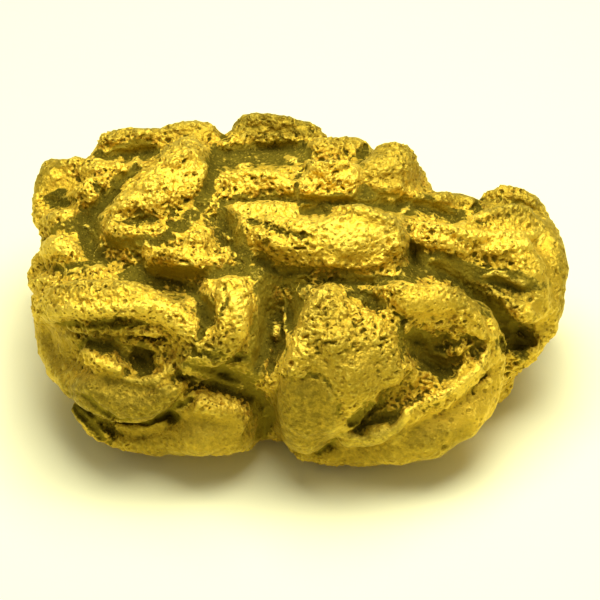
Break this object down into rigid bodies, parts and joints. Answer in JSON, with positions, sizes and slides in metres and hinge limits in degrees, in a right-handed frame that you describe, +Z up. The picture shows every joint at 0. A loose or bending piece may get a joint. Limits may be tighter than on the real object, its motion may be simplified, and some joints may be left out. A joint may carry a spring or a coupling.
{
  "type": "gold nugget",
  "caption": "Natural gold nugget: a blunt oblong lump of satin yellow metal with rolled lobes, folded ridges, deep pockets and a worn flat spot to rest on.",
  "frame": {"origin": "centre of the bounding box at the level of the worn flat spots underneath", "axes": "+X to the right of the pictured side, along the nugget's length; +Y away from that side; +Z up"},
  "size_m": [0.0162, 0.011, 0.0076],
  "materials": {
    "gold": "satin, with fine pits"
  },
  "bodies": {
    "root": {"nugget": "gold"}
  },
  "joints": []
}
